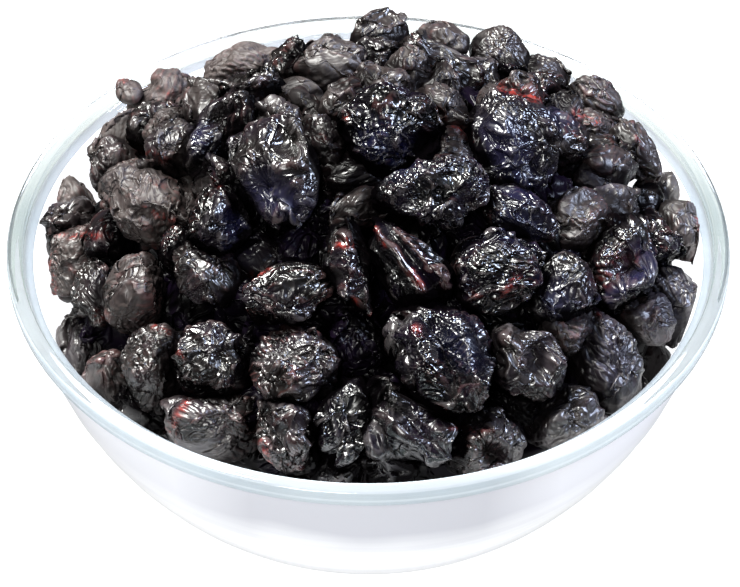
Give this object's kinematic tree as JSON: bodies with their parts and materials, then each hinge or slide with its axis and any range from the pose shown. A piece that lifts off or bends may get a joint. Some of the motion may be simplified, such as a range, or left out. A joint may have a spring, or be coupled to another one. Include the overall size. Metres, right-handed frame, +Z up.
{
  "type": "bowl of dried sour cherries",
  "caption": "Small round glass bowl with a thick rolled lip and a foot ring, filled with glossy wrinkled dark dried sour cherries heaped in a mound above its rim.",
  "frame": {"origin": "middle of the foot ring, on the surface that the bowl stands on", "axes": "+Z up along the bowl's axis, -Y towards the viewer of the picture, +X to the viewer's right"},
  "size_m": [0.12, 0.12, 0.0865],
  "materials": {
    "glass": "smooth pressed glass, milky in the wall and clear in the lip",
    "cherry_skin": "glossy wrinkled dried fruit skin, near black with a purple and red-brown tinge"
  },
  "bodies": {
    "root": {"glass_bowl": "glass", "cherries_in_bowl": "cherry_skin", "cherries_heaped": "cherry_skin"}
  },
  "joints": []
}
